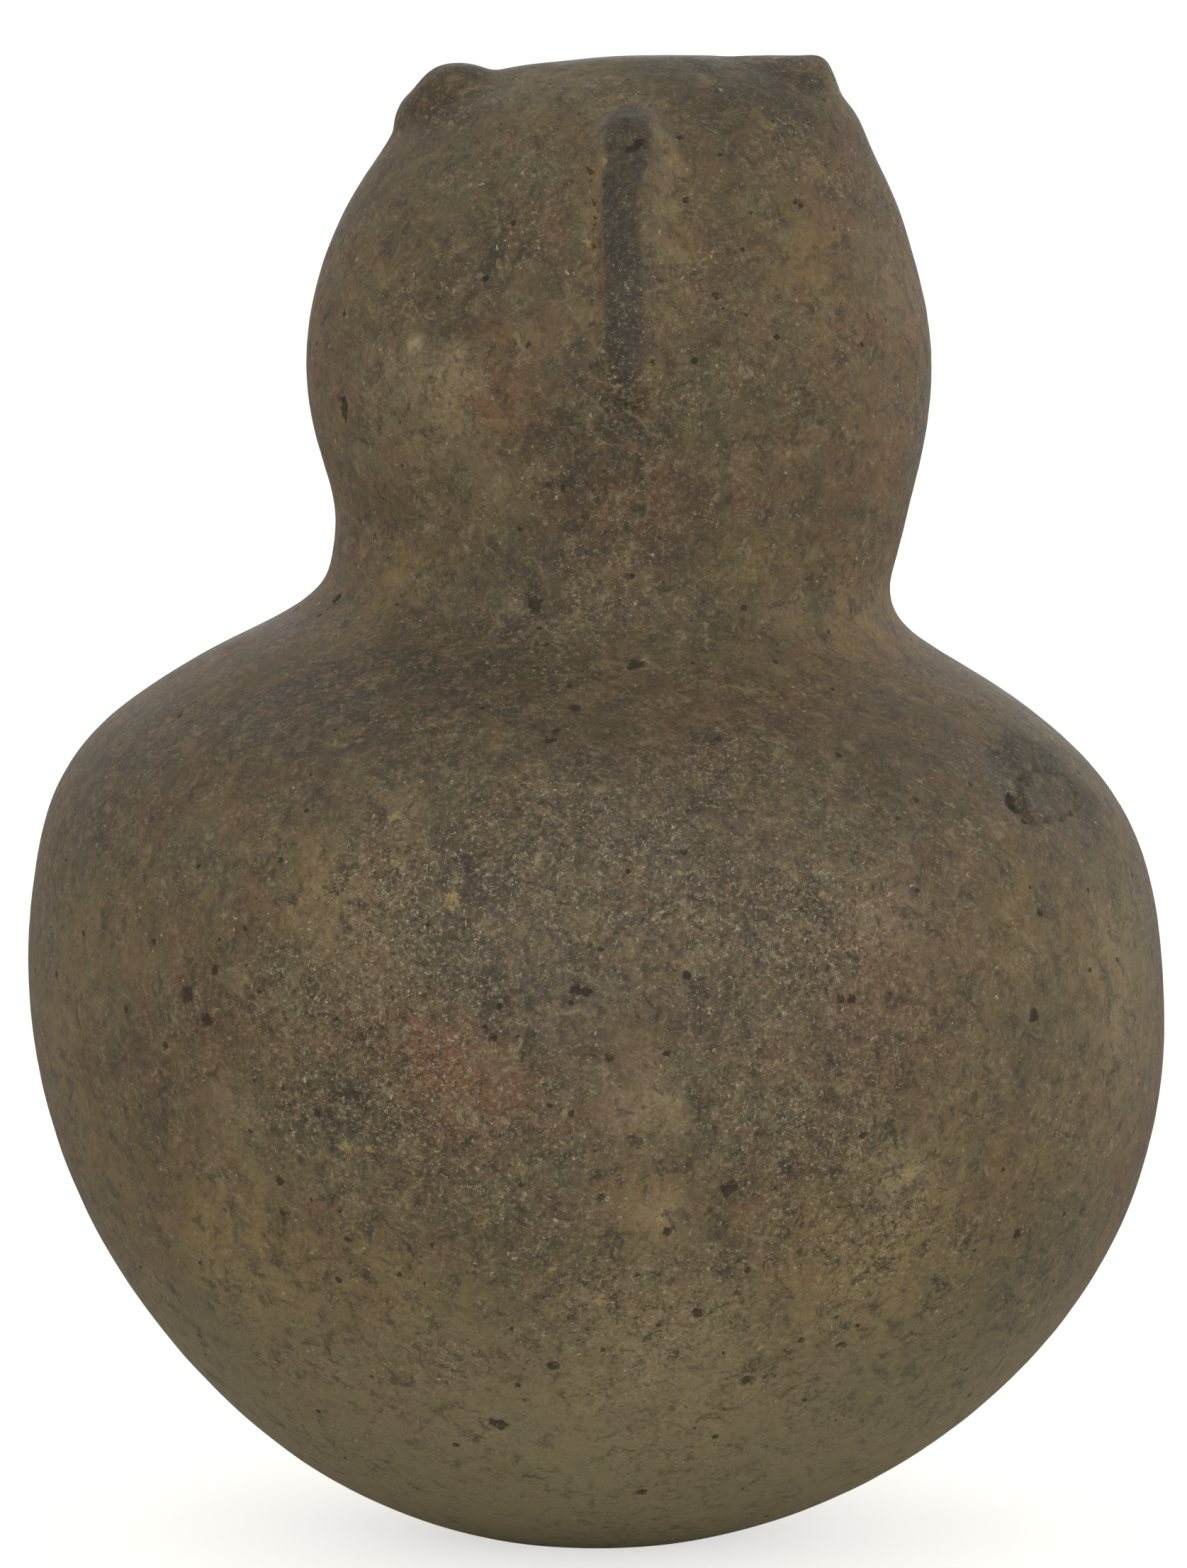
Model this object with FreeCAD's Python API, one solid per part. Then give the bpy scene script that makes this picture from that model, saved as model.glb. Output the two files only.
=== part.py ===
import FreeCAD, Part

import math
import os
from collections import namedtuple

from FreeCAD import Vector

# Hooded effigy bottle in fired clay: a round body, a closed head with a nose ridge
# and two ear lugs, and a mouth at the back of the head. It is built up from coils
# that are luted to each other, with the modelled features pressed on last.
# Millimetres, +Z up, the face looks towards -Y, the origin is the centre of the
# flat that the bottle rests on. Left and right are as seen from the front.

# Fired wall
WALL = 6.0
BASE_THICKNESS = 8.0

# Body, from the resting flat up to its widest ring, fuller low down on the right
REST_RADIUS = 14.0
WELL_RADIUS = 12.0
BELLY_HEIGHT = 71.0
BELLY_HALF_WIDTH = 69.0
BELLY_HALF_DEPTH = 66.0
RIGHT_FULLNESS = 0.057

# Neck, at its narrowest ring
NECK_HEIGHT = 120.0
NECK_LEFT = 31.8
NECK_RIGHT = 36.6
NECK_HALF_DEPTH = 31.0

# Head, at its widest ring, and the small flat on top of the crown
HEAD_HEIGHT = 143.0
HEAD_LEFT = 34.8
HEAD_RIGHT = 40.3
HEAD_HALF_DEPTH = 32.5
CROWN_HEIGHT = 180.0
CROWN_LEFT = 3.0
CROWN_RIGHT = 14.0
CROWN_HALF_DEPTH = 4.5

# Mouth at the back of the head, with its thickened ring of clay
MOUTH_RADIUS = 13.5
MOUTH_HEIGHT = 144.0
RIM_THICKNESS = 4.5
RIM_PROUD = 1.0
LIP_ROUND_SHARE = 0.42

# Nose ridge, pressed on the front of the head
RIDGE_X = 4.3
RIDGE_FOOT = 138.5
RIDGE_TOP = 175.0
RIDGE_HALF_WIDTH = 5.6
RIDGE_PROUD = 3.6
RIDGE_SINK = 2.5

# Ear lugs at the upper corners of the head
LEFT_EAR_X = -16.3
LEFT_EAR_HEIGHT = 172.4
LEFT_EAR_HALF_WIDTH = 7.6
LEFT_EAR_RISE = 6.8
LEFT_EAR_SQUARENESS = 2.2
RIGHT_EAR_X = 21.0
RIGHT_EAR_HEIGHT = 173.4
RIGHT_EAR_HALF_WIDTH = 8.6
RIGHT_EAR_RISE = 6.6
RIGHT_EAR_SQUARENESS = 4.0
EAR_HALF_DEPTH = 8.0

# How much the seam between two coils climbs towards the inside, beyond square to the wall
LUTE_BEVEL = 0.3

# Shape of the skin between two of the rings above: share of the way up, then share of the
# difference in reach that is left on the left, on the right and in depth
SHOULDER_SHAPE = [
    (0.265, 0.967, 0.922, 0.945),
    (0.406, 0.916, 0.812, 0.864),
    (0.545, 0.798, 0.621, 0.710),
    (0.684, 0.575, 0.329, 0.452),
    (0.790, 0.325, 0.080, 0.200),
    (0.870, 0.125, -0.015, 0.060),
    (0.935, 0.030, -0.025, 0.010),
]
CHEEK_SHAPE = [
    (0.22, 1.15, 0.68, 0.90),
    (0.52, 0.62, 0.26, 0.45),
    (0.80, 0.12, 0.03, 0.10),
]
CROWN_SHAPE = [
    (0.162, 0.987, 0.981, 0.975),
    (0.349, 0.934, 0.920, 0.911),
    (0.532, 0.840, 0.840, 0.814),
    (0.719, 0.692, 0.722, 0.654),
    (0.832, 0.572, 0.650, 0.511),
    (0.919, 0.415, 0.495, 0.339),
    (0.973, 0.236, 0.247, 0.161),
]
BOWL_RINGS = 8
RING_POINTS = 24

Ring = namedtuple("Ring", "height left right depth")


def mix(low, high, share):
    return low + (high - low) * share


def closed_curve(points):
    curve = Part.BSplineCurve()
    curve.interpolate(Points=points, PeriodicFlag=True)
    return Part.Wire(curve.toShape())


def round_points(half_width, half_height, squareness=2.0):
    """Points of an oval about the origin; a squareness of 2 is an ellipse."""
    points = []
    for step in range(RING_POINTS):
        angle = 2 * math.pi * step / RING_POINTS
        across = math.cos(angle)
        up = math.sin(angle)
        reach = (abs(across) ** squareness + abs(up) ** squareness) ** (-1 / squareness)
        points.append((half_width * across * reach, half_height * up * reach))
    return points


def ring_wire(ring):
    centre = (ring.right - ring.left) / 2
    oval = round_points((ring.right + ring.left) / 2, ring.depth)
    return closed_curve([Vector(centre + x, y, ring.height) for x, y in oval])


def loft(wires):
    return Part.makeLoft(wires, True, False)


def bowl_rings(half_width, half_depth, flat_radius, floor_height):
    """Rings of the half ellipsoid that rises from a flat to the widest ring."""
    start = math.asin(flat_radius / half_width)
    drop = (BELLY_HEIGHT - floor_height) / math.cos(start)
    rings = []
    for step in range(BOWL_RINGS):
        angle = mix(start, math.pi / 2, step / BOWL_RINGS)
        reach = math.sin(angle)
        height = BELLY_HEIGHT - drop * math.cos(angle)
        right = half_width * reach * (1 + RIGHT_FULLNESS * math.sin(2 * angle))
        rings.append(Ring(height, half_width * reach, right, half_depth * reach))
    return rings


def span_rings(low, high, shape):
    """Rings between two main rings, then the upper one."""
    rings = []
    for rise, left, right, depth in shape:
        rings.append(Ring(
            mix(low.height, high.height, rise),
            mix(high.left, low.left, left),
            mix(high.right, low.right, right),
            mix(high.depth, low.depth, depth),
        ))
    return rings + [high]


def upper_rings():
    belly = Ring(BELLY_HEIGHT, BELLY_HALF_WIDTH, BELLY_HALF_WIDTH, BELLY_HALF_DEPTH)
    neck = Ring(NECK_HEIGHT, NECK_LEFT, NECK_RIGHT, NECK_HALF_DEPTH)
    head = Ring(HEAD_HEIGHT, HEAD_LEFT, HEAD_RIGHT, HEAD_HALF_DEPTH)
    crown = Ring(CROWN_HEIGHT, CROWN_LEFT, CROWN_RIGHT, CROWN_HALF_DEPTH)
    return (
        [belly]
        + span_rings(belly, neck, SHOULDER_SHAPE)
        + span_rings(neck, head, CHEEK_SHAPE)
        + span_rings(head, crown, CROWN_SHAPE)
    )


def slopes_between(below, above):
    """How fast each reach changes with height between two rings."""
    rise = above.height - below.height
    return [(high - low) / rise for low, high in zip(below[1:], above[1:])]


def inner_rings(rings):
    """The same rings moved in by the wall, square to the skin."""
    moved = [Ring(rings[0].height, *(reach - WALL for reach in rings[0][1:]))]
    for place in range(1, len(rings)):
        ring = rings[place]
        below = rings[place - 1]
        above = rings[min(place + 1, len(rings) - 1)]
        slopes = slopes_between(below, above)
        lean = sum(slopes) / len(slopes)
        shift = WALL * lean / math.hypot(1, lean)
        reaches = [
            reach + tilt * shift - WALL * math.hypot(1, tilt)
            for reach, tilt in zip(ring[1:], slopes)
        ]
        moved.append(Ring(ring.height + shift, *reaches))
    return moved


def at_height(rings, height):
    """The skin's ring at a height, and how fast its mean reach changes there."""
    for below, above in zip(rings, rings[1:]):
        if height <= above.height:
            break
    share = (height - below.height) / (above.height - below.height)
    ring = Ring(height, *(mix(low, high, share) for low, high in zip(below[1:], above[1:])))
    slopes = slopes_between(below, above)
    return ring, sum(slopes) / len(slopes)


def front_of(rings, x, height):
    """Y of the front skin above a point of the X axis."""
    ring, _ = at_height(rings, height)
    across = (x - (ring.right - ring.left) / 2) / ((ring.right + ring.left) / 2)
    return -ring.depth * math.sqrt(1 - across ** 2)


def space_below_seam(rings, height):
    """Everything under the bevelled seam that meets the skin at a height."""
    ring, lean = at_height(rings, height)
    centre = (ring.right - ring.left) / 2
    radius = (ring.right + ring.left + 2 * ring.depth) / 4
    climb = lean + LUTE_BEVEL
    reach = BELLY_HALF_WIDTH + BELLY_HALF_DEPTH
    foot = -reach * (1 + abs(climb))
    corners = [
        Vector(centre, 0, foot),
        Vector(centre + reach, 0, foot),
        Vector(centre + reach, 0, height + climb * (radius - reach)),
        Vector(centre, 0, height + climb * radius),
    ]
    half_section = Part.Face(Part.makePolygon(corners + corners[:1]))
    return half_section.revolve(Vector(centre, 0, 0), Vector(0, 0, 1), 360)


def course_tops():
    """Name of each course of clay but the last, with the height of the seam on top of it."""
    return {
        "base_bowl": mix(0, BELLY_HEIGHT, 0.34),
        "lower_wall_course": mix(0, BELLY_HEIGHT, 0.67),
        "belly_course": BELLY_HEIGHT,
        "lower_shoulder_course": mix(BELLY_HEIGHT, NECK_HEIGHT, 0.38),
        "upper_shoulder_course": mix(BELLY_HEIGHT, NECK_HEIGHT, 0.68),
        "neck_base_course": mix(BELLY_HEIGHT, NECK_HEIGHT, 0.84),
        "neck_collar": mix(NECK_HEIGHT, HEAD_HEIGHT, 0.04),
        "cheek_course": mix(HEAD_HEIGHT, CROWN_HEIGHT, 0.07),
        "brow_course": mix(HEAD_HEIGHT, CROWN_HEIGHT, 0.70),
    }


def courses(wall, rings):
    """The wall cut at its seams, from the base up."""
    pieces = {}
    rest = wall
    for name, height in course_tops().items():
        below = space_below_seam(rings, height)
        pieces[name] = rest.common(below)
        rest = rest.cut(below)
    pieces["crown_cap"] = rest
    return pieces


def mouth_rim(rings, cavity):
    """The ring of clay round the mouth, and the round hole that it fills in the wall."""
    ring, _ = at_height(rings, MOUTH_HEIGHT)
    start = Vector((HEAD_RIGHT - HEAD_LEFT) / 2, 0, MOUTH_HEIGHT)
    length = ring.depth + RIM_PROUD
    along = Vector(0, 1, 0)
    rod = Part.makeCylinder(MOUTH_RADIUS + RIM_THICKNESS, length, start, along)
    bore = Part.makeCylinder(MOUTH_RADIUS, length, start, along)
    tube = rod.cut(bore)
    lip = [
        edge for edge in tube.Edges
        if isinstance(edge.Curve, Part.Circle) and edge.Curve.Center.y > length / 2
    ]
    tube = tube.makeFillet(RIM_THICKNESS * LIP_ROUND_SHARE, lip)
    return tube.cut(cavity), rod


def nose_ridge(rings, skin):
    """A ridge that follows the front of the head and ends in a blunt knob."""
    # Share of the way up, share of the half width, share of the height over the skin
    shape = [
        (0.00, 0.55, -0.30),
        (0.08, 0.78, 0.45),
        (0.25, 0.92, 0.90),
        (0.50, 0.92, 1.00),
        (0.74, 0.95, 1.00),
        (0.86, 1.05, 1.10),
        (0.94, 0.95, 0.85),
        (1.00, 0.60, -0.10),
    ]
    wires = []
    for rise, width, proud in shape:
        height = mix(RIDGE_FOOT, RIDGE_TOP, rise)
        front = front_of(rings, RIDGE_X, height)
        oval = round_points(RIDGE_HALF_WIDTH * width, RIDGE_SINK + RIDGE_PROUD * proud)
        wires.append(closed_curve(
            [Vector(RIDGE_X + x, front + RIDGE_SINK + y, height) for x, y in oval]))
    return loft(wires).cut(skin)


def ear_lug(skin, x, height, half_width, rise, squareness):
    """A pinched lug, thickest in its middle, that stands over the corner of the head."""
    # Share of the half depth, share of the outline's size
    shape = [(-1.0, 0.35), (-0.75, 0.72), (-0.35, 0.95), (0.0, 1.0),
             (0.35, 0.95), (0.75, 0.72), (1.0, 0.35)]
    wires = []
    for depth, size in shape:
        oval = round_points(half_width * size, rise * size, squareness)
        wires.append(closed_curve(
            [Vector(x + across, EAR_HALF_DEPTH * depth, height + up) for across, up in oval]))
    return loft(wires).cut(skin)


def build():
    upper = upper_rings()
    outer = bowl_rings(BELLY_HALF_WIDTH, BELLY_HALF_DEPTH, REST_RADIUS, 0.0) + upper
    inner = bowl_rings(
        BELLY_HALF_WIDTH - WALL, BELLY_HALF_DEPTH - WALL, WELL_RADIUS, BASE_THICKNESS
    ) + inner_rings(upper)
    skin = loft([ring_wire(ring) for ring in outer])
    cavity = loft([ring_wire(ring) for ring in inner])
    rim, rim_hole = mouth_rim(outer, cavity)
    wall = skin.cut(cavity).cut(rim_hole)
    pieces = courses(wall, outer)
    pieces["mouth_rim"] = rim
    pieces["nose_ridge"] = nose_ridge(outer, skin)
    pieces["left_ear"] = ear_lug(
        skin, LEFT_EAR_X, LEFT_EAR_HEIGHT, LEFT_EAR_HALF_WIDTH, LEFT_EAR_RISE,
        LEFT_EAR_SQUARENESS)
    pieces["right_ear"] = ear_lug(
        skin, RIGHT_EAR_X, RIGHT_EAR_HEIGHT, RIGHT_EAR_HALF_WIDTH, RIGHT_EAR_RISE,
        RIGHT_EAR_SQUARENESS)
    return pieces


os.makedirs("parts", exist_ok=True)
for node, shape in build().items():
    solids = shape.Solids
    print(f"{node}: {len(solids)} solid, {shape.Volume / 1000:.2f} cm3, valid {shape.isValid()}")
    (solids[0] if len(solids) == 1 else shape).exportStep(f"parts/{node}.step")
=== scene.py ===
import math

import bpy
import bmesh
import numpy as np
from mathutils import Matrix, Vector
from mathutils.bvhtree import BVHTree
from mathutils.geometry import delaunay_2d_cdt


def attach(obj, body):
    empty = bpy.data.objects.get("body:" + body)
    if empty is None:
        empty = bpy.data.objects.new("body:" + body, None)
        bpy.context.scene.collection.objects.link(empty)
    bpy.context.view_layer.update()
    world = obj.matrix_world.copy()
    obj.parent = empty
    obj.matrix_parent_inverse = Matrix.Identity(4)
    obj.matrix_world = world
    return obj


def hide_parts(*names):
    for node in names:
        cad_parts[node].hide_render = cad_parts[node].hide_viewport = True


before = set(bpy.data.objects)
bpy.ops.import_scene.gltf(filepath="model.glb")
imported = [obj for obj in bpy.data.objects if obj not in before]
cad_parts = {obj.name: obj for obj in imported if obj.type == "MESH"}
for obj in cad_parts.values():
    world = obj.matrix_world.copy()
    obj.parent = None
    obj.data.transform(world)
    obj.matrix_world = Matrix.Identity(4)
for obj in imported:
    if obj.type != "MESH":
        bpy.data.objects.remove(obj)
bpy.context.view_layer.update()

# Hooded effigy bottle in fired clay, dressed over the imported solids.
# The whole pot is skinned as one piece of clay, so that the pressed-on features melt
# into the wall, and is then cut again at the potter's own joins.
# Metres, +Z up, the face looks towards -Y. Left and right are as seen from the front.

MM = 0.001

# Camera: a long lens a little above the middle of the pot
PHOTO_WIDTH = 1675
PHOTO_HEIGHT = 2212
CAMERA_ELEVATION = math.radians(6.0)
CAMERA_DISTANCE = 1.2
VIEW_HEIGHT = 0.19085
SENSOR_HEIGHT = 36.0
AIM = Vector((-0.0002, 0.0, 0.0919))

# Skin: grain of the remeshed clay, how far the pressed-on pieces melt in, and how far
# from its edge and how strongly the lip of the mouth is rubbed round
CLAY_VOXEL = 0.6 * MM
SMOOTHING_PASSES = 15
SMOOTHING = 0.5
LIP_DEPTH = 3.0 * MM
LIP_MARGIN = 1.0 * MM
LIP_PASSES = 40

# How near points of two courses lie on their common seam, how well a cone fits it, and
# how many times the usual misfit tells a point of something else
SEAM_TOUCH = 0.05 * MM
SEAM_FIT = 0.02 * MM
SEAM_ROUNDS = 8
SEAM_OUTLIER = 3

# Pressed-on pieces: how far round them the skin is searched, the middle of the mouth, and
# the point inside the head that an ear points away from
PRESSED_REACH = 6.0 * MM
MOUTH_MIDDLE = (2.75 * MM, 0.0, 144.0 * MM)
EAR_FOOT_ASIDE = 5.0 * MM
EAR_FOOT_HEIGHT = 155.0 * MM

# Cuts: the least share of an edge on either side of a cut, how far apart the points of a
# hidden lid lie and how many times that they keep off its rim, and when points are one
CUT_MARGIN = 0.05
LID_SPACING = 1.6 * MM
LID_MARGIN = 0.6
SOLID_WELD = 1e-7
LID_WELD = 1e-9

# The pot's middle line leans to the head's side between the shoulder and the head, and
# the skin's outside is told from its inside by a stretch of that line
LEAN_HEIGHTS = (71.0 * MM, 120.0 * MM)
HEAD_LEAN = 2.75 * MM
CORE_HEIGHTS = (40.0 * MM, 165.0 * MM)

# Courses of clay from the base up; each is luted on the one before it
COURSES = [
    "base_bowl", "lower_wall_course", "belly_course", "lower_shoulder_course",
    "upper_shoulder_course", "neck_base_course", "neck_collar", "cheek_course",
    "brow_course", "crown_cap",
]

# Values that the skin carries for the clay's colours, and their highest value
MASK_TOP = 1.2
MASKS = ["ochre", "red", "mauve", "olive", "smudge", "pale", "crown", "foot", "grit", "soot",
         "pit_and_crease_shade", "crumb", "inside"]

# Marks on the front, placed by pixel of the photograph: x, y, radius in mm, strength
# Ochre fire flushes; the small spots along both flanks of the nose ridge are painted light on
# those flanks
OCHRE_FLUSHES_AND_LIT_FLANKS = [
    (330, 1760, 11, 1.1), (1430, 1300, 12, 0.35), (1243, 1776, 12, 1.2), (1200, 880, 7, 0.9),
    (560, 830, 6, 0.7), (620, 600, 6, 0.3), (1150, 366, 8, 0.6), (533, 388, 5, 0.5),
    (838, 250, 1.8, 0.9), (838, 310, 1.8, 0.9), (836, 370, 1.8, 0.7), (950, 230, 2.2, 0.9),
    (952, 300, 2.4, 0.9), (950, 370, 2.4, 0.8), (945, 440, 2.4, 0.6), (915, 1690, 5, 0.9),
    (1560, 1330, 9, 0.7), (444, 1254, 6, 0.6), (1043, 810, 5, 0.8), (1500, 1600, 10, 0.6),
    (1250, 860, 6, 0.9), (1600, 1450, 9, 0.6), (80, 1450, 9, 0.5), (150, 1650, 9, 0.5),
    (120, 1300, 9, 0.6), (1000, 1960, 9, 0.4), (560, 1800, 8, 0.5), (1330, 1560, 9, 0.5),
    (1260, 600, 6, 0.5), (480, 900, 5, 0.4), (620, 900, 5, 0.4),
]
RED_FLUSHES = [
    (650, 1490, 7, 0.9), (705, 1520, 5, 0.8), (570, 1470, 5, 0.4), (640, 1430, 4, 0.3),
    (870, 700, 7, 1.0), (977, 1030, 9, 0.5), (1180, 310, 6, 0.4), (250, 1130, 8, 0.3),
    (1230, 1350, 9, 0.6), (1280, 1480, 7, 0.4), (1290, 450, 7, 0.5), (1210, 895, 8, 0.3),
    (500, 780, 7, 0.3), (690, 480, 5, 0.5), (720, 600, 5, 0.4), (470, 560, 6, 0.3),
    (870, 1560, 5, 0.4), (600, 150, 5, 0.3), (1140, 1000, 7, 0.4), (300, 1480, 6, 0.2),
    (690, 1640, 4, 0.3), (1250, 650, 6, 0.4), (710, 580, 2.2, 1.2), (610, 130, 5, 0.6),
    (692, 558, 2.0, 1.2), (900, 690, 6, 0.5), (1190, 240, 4, 0.5),
]
OLIVE_CLOUDS = [
    (640, 250, 7, 0.9), (1000, 600, 6, 0.7), (280, 1190, 6, 0.8), (450, 1640, 7, 0.7),
    (700, 1700, 6, 0.6), (620, 1390, 3, 0.5), (1490, 1080, 7, 0.8), (1610, 1300, 9, 0.7),
    (50, 1300, 8, 0.5), (1480, 1750, 10, 0.6), (1250, 1950, 9, 0.5), (300, 1900, 9, 0.5),
    (720, 105, 7, 0.5), (400, 1400, 5, 0.5), (1250, 1690, 4, 0.5), (890, 170, 3, 0.5),
    (700, 1850, 6, 0.4), (960, 900, 6, 0.3), (1000, 1620, 5, 0.4), (1400, 1500, 6, 0.4),
    (820, 2080, 9, 0.4), (1540, 1150, 5, 0.6), (760, 235, 3.5, 0.9), (650, 1060, 6, 0.4),
    (1200, 1150, 7, 0.4), (1470, 1480, 6, 0.5), (1100, 1580, 5, 0.5), (1290, 1570, 5, 0.5),
]
# Where the surface is worn down to its coarse, gritty grain
GRITTY = [
    (880, 1200, 13, 0.8), (560, 1300, 12, 1.0), (1120, 1310, 13, 0.9), (640, 1570, 15, 0.8),
    (1170, 1620, 12, 0.9), (920, 1860, 11, 0.8), (400, 1500, 11, 0.6), (1260, 1750, 7, 0.9),
    (880, 440, 2.5, 0.3), (868, 540, 3.5, 0.8), (800, 880, 9, 0.4), (930, 600, 5, 0.4),
    (560, 1900, 10, 0.3), (585, 500, 4, 0.4), (700, 1180, 8, 0.5), (1060, 1080, 7, 0.4),
]
# Greyish mauve blooms of the clay, which across the belly are also a painted sheen
MAUVE_BLOOMS_AND_SHEEN = [
    (740, 1400, 10, 0.8), (900, 1150, 14, 0.7), (1010, 1300, 18, 0.8), (700, 1330, 12, 0.6),
    (800, 1600, 12, 0.5), (1240, 1240, 12, 0.6), (760, 1230, 10, 0.6), (660, 360, 5, 0.5),
    (1180, 280, 6, 0.5), (1210, 350, 4, 0.5), (900, 850, 7, 0.5), (1250, 1480, 12, 0.4),
    (1440, 1060, 2.5, 0.9), (1500, 1090, 3, 0.8), (1540, 1135, 3, 0.8), (893, 400, 2.2, 0.8),
    (740, 880, 10, 0.6), (640, 860, 7, 0.4),
]
# Fire smudges, and painted shade: in the neck's hollow, on the shoulder, in the eye hollows
# beside the nose ridge, at the sides of its knob and as the shadow under the nose's tip
SMUDGES_AND_SHADE = [
    (505, 1560, 5, 0.9), (455, 1600, 5, 0.6), (560, 960, 13, 1.1), (430, 1010, 9, 0.6),
    (640, 430, 5, 0.45), (690, 300, 4, 0.4), (1050, 350, 4, 0.35), (860, 600, 5, 0.5),
    (980, 1090, 12, 0.3), (200, 1560, 10, 0.3), (750, 560, 6, 0.3), (1440, 1090, 5, 0.8),
    (1500, 1060, 4, 0.6), (960, 200, 1.6, 0.6), (979, 216, 1.6, 0.6), (839, 214, 1.3, 0.6),
    (1290, 1010, 6, 0.4), (610, 140, 6, 0.9), (1010, 120, 6, 0.6), (1130, 105, 4, 0.6),
    (600, 390, 8, 0.2), (560, 300, 6, 0.3), (704, 300, 2.4, 1.3), (712, 332, 2.4, 1.2),
    (685, 370, 1.8, 1.0), (1005, 410, 2, 1.0), (870, 680, 8, 0.75), (852, 604, 3.5, 0.9),
    (800, 900, 11, 0.2), (1420, 1850, 11, 0.6), (1360, 1930, 9, 0.4), (130, 1090, 8, 0.4),
    (1250, 1080, 7, 0.4), (1070, 130, 6, 0.6), (1120, 140, 5, 0.5), (820, 1010, 12, 0.5),
    (650, 1000, 10, 0.4), (1000, 960, 10, 0.4),
    (1180, 1040, 10, 0.4), (350, 1040, 8, 0.4), (745, 640, 5, 0.4), (560, 1590, 3, 0.5),
    (470, 1560, 3, 0.6), (700, 1400, 3, 0.3), (1320, 1440, 4, 0.3), (300, 1430, 5, 0.4),
    (720, 770, 10, 0.45), (910, 800, 9, 0.4), (1000, 690, 7, 0.3), (585, 500, 5, 0.3),
    (830, 640, 8, 0.3), (1040, 500, 6, 0.4), (180, 1130, 9, 0.35), (700, 1220, 7, 0.3),
    (1430, 1055, 2.6, 0.8), (1462, 1072, 2.6, 0.6), (1502, 1092, 3, 0.8), (1532, 1122, 3, 0.8),
    (1540, 1155, 2.4, 0.7), (921, 190, 1.0, 0.9), (925, 215, 1.0, 0.9), (842, 210, 1.0, 0.8),
    (955, 192, 1.4, 0.8), (966, 284, 0.9, 0.6), (968, 300, 0.9, 0.4), (1000, 130, 5, 0.4),
    (690, 470, 5, 0.35), (660, 1395, 3.5, 0.6), (700, 1430, 3, 0.5), (1290, 1640, 2.5, 0.6),
    (740, 1430, 5, 0.4), (1000, 104, 7, 1.2), (1120, 92, 5, 0.7), (610, 130, 6, 1.1),
    (640, 105, 5, 0.5), (70, 1300, 9, 0.4), (200, 1070, 12, 0.5), (400, 980, 10, 0.4),
    (120, 1200, 10, 0.3), (676, 530, 1.2, 0.8), (690, 545, 1.2, 0.8), (705, 560, 1.3, 0.9),
    (722, 577, 1.3, 0.7), (755, 652, 1.0, 0.8), (768, 662, 1.0, 0.8), (782, 671, 1.0, 0.8),
    (798, 678, 1.0, 0.7), (488, 525, 1.3, 0.7), (880, 370, 2.0, 0.6), (890, 460, 2.0, 0.5),
    (600, 440, 7, 0.3), (1250, 1950, 10, 0.4), (600, 1120, 8, 0.3), (940, 640, 8, 0.2),
    (1060, 860, 6, 0.5), (1060, 1050, 8, 0.4), (800, 1070, 8, 0.3),
    (690, 1240, 7, 0.3), (580, 500, 4, 0.3), (660, 650, 5, 0.4), (1000, 300, 4, 0.3),
]
# Pale wear, and painted highlights in an arc over the top of the nose ridge's knob and along the
# ridge's flanks
PALE_WEAR_AND_HIGHLIGHTS = [
    (920, 1560, 4.5, 0.9), (585, 483, 1.6, 1.0), (920, 1715, 2.5, 0.6), (610, 540, 3, 0.6),
    (1178, 120, 2.2, 0.8), (1282, 1658, 3.5, 0.8), (340, 1570, 4, 0.6), (560, 1140, 4, 0.5),
    (1262, 1690, 4, 0.4), (470, 1640, 4, 0.4), (700, 690, 4, 0.5), (1105, 870, 3, 0.4),
    (760, 115, 7, 0.4), (640, 1980, 6, 0.2), (310, 1640, 4, 0.4), (850, 160, 1.3, 0.6),
    (868, 146, 1.3, 0.6), (890, 143, 1.3, 0.6), (912, 150, 1.3, 0.6), (938, 190, 1.8, 0.6),
    (850, 228, 1.3, 0.9), (1429, 1098, 0.9, 1.0), (945, 300, 2.2, 0.5), (945, 250, 2.2, 0.5),
    (838, 300, 1.6, 0.5), (838, 380, 1.6, 0.5), (943, 360, 2.2, 0.4), (1255, 400, 6, 0.4),
    (655, 505, 1.5, 1.2), (638, 497, 1.3, 1.0), (668, 522, 1.5, 1.2), (680, 544, 1.1, 0.9),
    (1250, 1290, 6, 0.5), (500, 1290, 6, 0.5), (838, 440, 1.8, 0.7), (960, 1850, 9, 0.4),
    (850, 1950, 10, 0.5), (1280, 440, 6, 0.3), (1600, 1350, 9, 0.4), (1590, 1500, 9, 0.3),
    (1560, 1150, 6, 0.3), (960, 1980, 8, 0.3), (760, 2050, 8, 0.3),
]
LIGHT_CRUMBS = [
    (637, 1271, 1.3), (316, 1292, 0.6), (847, 1836, 0.9), (930, 1720, 0.8), (780, 1790, 0.6),
    (764, 1526, 0.6), (796, 1570, 0.6), (488, 1616, 0.9), (521, 1621, 0.7), (828, 340, 0.7),
    (1282, 1658, 1.2), (851, 227, 0.7), (880, 432, 0.4), (872, 545, 0.4), (928, 553, 0.5),
    (585, 483, 0.9), (1160, 1262, 0.6), (560, 1150, 0.9), (878, 432, 0.5), (868, 549, 0.5),
    (912, 462, 0.3), (908, 478, 0.3), (870, 500, 0.3), (898, 520, 0.3), (598, 545, 0.35),
    (606, 540, 0.35), (612, 552, 0.4), (620, 545, 0.35), (622, 560, 0.35), (588, 600, 0.4),
]
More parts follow.
